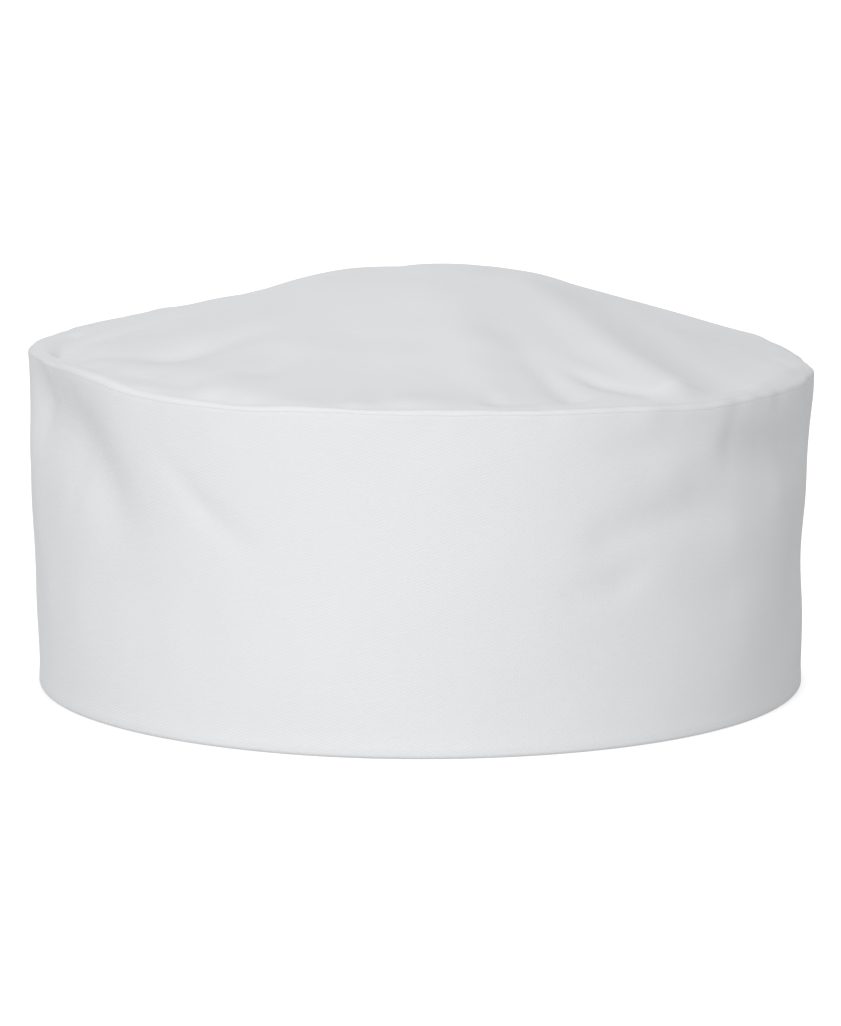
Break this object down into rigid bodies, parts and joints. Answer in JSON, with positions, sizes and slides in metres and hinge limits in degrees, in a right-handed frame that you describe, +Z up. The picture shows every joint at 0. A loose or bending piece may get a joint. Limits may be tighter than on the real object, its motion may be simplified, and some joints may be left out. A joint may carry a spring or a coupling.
{
  "type": "chef toque",
  "caption": "Low flat-top chef's cap: a doubled twill side band, a shallow domed crown, and a hook-and-loop tab that closes an arched opening at the back.",
  "frame": {"origin": "centre of the hem's plane, under the middle of the whole cap with its tab", "axes": "+Z up to the crown, -Y to the front of the cap, +Y to the back opening, +X to the side where the tab is sewn"},
  "size_m": [0.189, 0.2017, 0.1017],
  "materials": {
    "twill": "matt white cotton-blend twill, fine diagonal rib",
    "stiffener": "matt off-white non-woven interfacing",
    "tape": "matt white bias tape",
    "terry": "soft white looped terry",
    "hook_and_loop": "white woven nylon hook-and-loop tape",
    "label": "smooth white satin ribbon, blank",
    "thread": "white spun polyester sewing thread"
  },
  "bodies": {
    "cap": {"crown_panel": "twill", "side_band": "twill", "band_interfacing": "stiffener", "crown_seam_tape": "tape", "seam_tape_thread": "thread", "sweatband": "terry", "sweatband_thread_upper": "thread", "sweatband_thread_lower": "thread", "arch_binding": "tape", "arch_binding_thread": "thread", "care_label": "label", "care_label_thread": "thread", "adjuster_tab_root": "twill", "tab_root_thread": "thread", "loop_tape": "hook_and_loop", "loop_tape_thread": "thread"},
    "tab": {"adjuster_tab": "twill", "tab_edge_thread": "thread", "hook_tape": "hook_and_loop", "hook_tape_thread": "thread"}
  },
  "joints": [
    {"name": "tab_peel", "type": "hinge", "parent": "cap", "child": "tab", "pos_m": [0.04048, 0.08998, 0.015], "axis": [0, 0, -1], "range_deg": [0, 120]}
  ]
}
